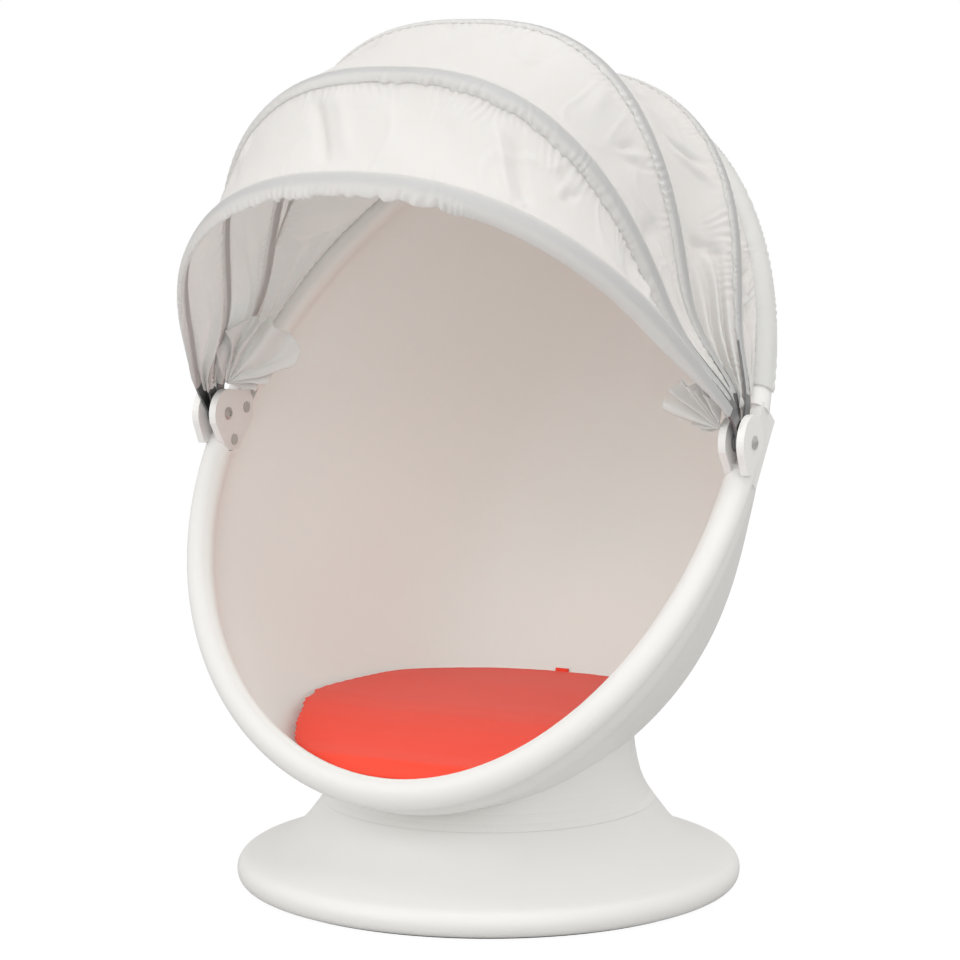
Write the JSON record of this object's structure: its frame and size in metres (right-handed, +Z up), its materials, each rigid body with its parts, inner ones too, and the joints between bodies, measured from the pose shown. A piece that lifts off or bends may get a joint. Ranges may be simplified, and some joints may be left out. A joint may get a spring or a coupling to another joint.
{
  "type": "pod chair",
  "caption": "Small swivelling pod chair: a moulded bucket seat with a rolled rim, a flat seat pad and a folding fabric hood on steel bows.",
  "frame": {"origin": "on the floor, on the axis that the seat swivels about", "axes": "+Z up, the seat faces -Y, +X towards the sitter's left"},
  "size_m": [0.5928, 0.653, 0.8331],
  "materials": {
    "moulded_plastic": "satin white moulded plastic with a fine texture",
    "bracket_plastic": "satin light grey moulded plastic",
    "bearing_plastic": "plain natural nylon",
    "rubber": "matt dark rubber",
    "steel": "zinc plated steel",
    "spring_steel": "dark rolled spring steel strip",
    "pad_fabric": "plain woven coral red cover",
    "hood_fabric": "thin off-white woven polyester",
    "fastener": "white hook and loop discs"
  },
  "bodies": {
    "base": {"pedestal": "moulded_plastic", "pedestal_foot_ring": "rubber", "swivel_lower_plate": "steel", "swivel_ball_race": "steel", "swivel_lower_screw_1": "steel", "swivel_lower_screw_2": "steel", "swivel_lower_screw_3": "steel", "swivel_lower_screw_4": "steel", "swivel_bush": "bearing_plastic"},
    "seat": {"seat_bucket": "moulded_plastic", "swivel_upper_plate": "steel", "swivel_spindle": "steel", "swivel_lock_nut": "steel", "swivel_upper_screw_1": "steel", "swivel_upper_screw_2": "steel", "swivel_upper_screw_3": "steel", "swivel_upper_screw_4": "steel", "seat_floor": "moulded_plastic", "seat_pad": "pad_fabric", "seat_pad_tab": "pad_fabric", "pad_fastener_1": "fastener", "pad_fastener_2": "fastener", "pad_fastener_3": "fastener", "bracket_inner_right": "bracket_plastic", "bracket_outer_right": "bracket_plastic", "bracket_pivot_right": "steel", "bracket_screw_right_1": "steel", "bracket_screw_right_2": "steel", "bracket_inner_left": "bracket_plastic", "bracket_outer_left": "bracket_plastic", "bracket_pivot_left": "steel", "bracket_screw_left_1": "steel", "bracket_screw_left_2": "steel", "hood_hem": "hood_fabric"},
    "hood_rear": {"bow_rear": "spring_steel", "sleeve_rear": "hood_fabric", "hood_panel_rear": "hood_fabric"},
    "hood_third": {"bow_third": "spring_steel", "sleeve_third": "hood_fabric", "hood_panel_third": "hood_fabric"},
    "hood_second": {"bow_second": "spring_steel", "sleeve_second": "hood_fabric", "hood_panel_second": "hood_fabric"},
    "hood_front": {"bow_front": "spring_steel", "sleeve_front": "hood_fabric", "hood_panel_front": "hood_fabric"}
  },
  "joints": [
    {"name": "seat_swivel", "type": "hinge", "parent": "base", "child": "seat", "pos_m": [0, 0, 0.06], "axis": [0, 0, 1], "continuous": true},
    {"name": "hood_rear_fold", "type": "hinge", "parent": "seat", "child": "hood_rear", "pos_m": [0, -0.0425, 0.448], "axis": [1, 0, 0], "range_deg": [-14, 24], "deforming": ["hood_panel_rear"]},
    {"name": "hood_third_fold", "type": "hinge", "parent": "hood_rear", "child": "hood_third", "pos_m": [0, -0.0425, 0.448], "axis": [1, 0, 0], "range_deg": [-9.5, 16.1], "deforming": ["hood_panel_third"]},
    {"name": "hood_second_fold", "type": "hinge", "parent": "hood_third", "child": "hood_second", "pos_m": [0, -0.0425, 0.448], "axis": [1, 0, 0], "range_deg": [-16.8, 28.6], "deforming": ["hood_panel_second"]},
    {"name": "hood_front_fold", "type": "hinge", "parent": "hood_second", "child": "hood_front", "pos_m": [0, -0.0425, 0.448], "axis": [1, 0, 0], "range_deg": [-10, 17], "deforming": ["hood_panel_front"]}
  ],
  "couplings": [
    {"joint": "hood_third_fold", "follows": "hood_rear_fold", "ratio": 0.66},
    {"joint": "hood_second_fold", "follows": "hood_rear_fold", "ratio": 1.18},
    {"joint": "hood_front_fold", "follows": "hood_rear_fold", "ratio": 0.7}
  ]
}
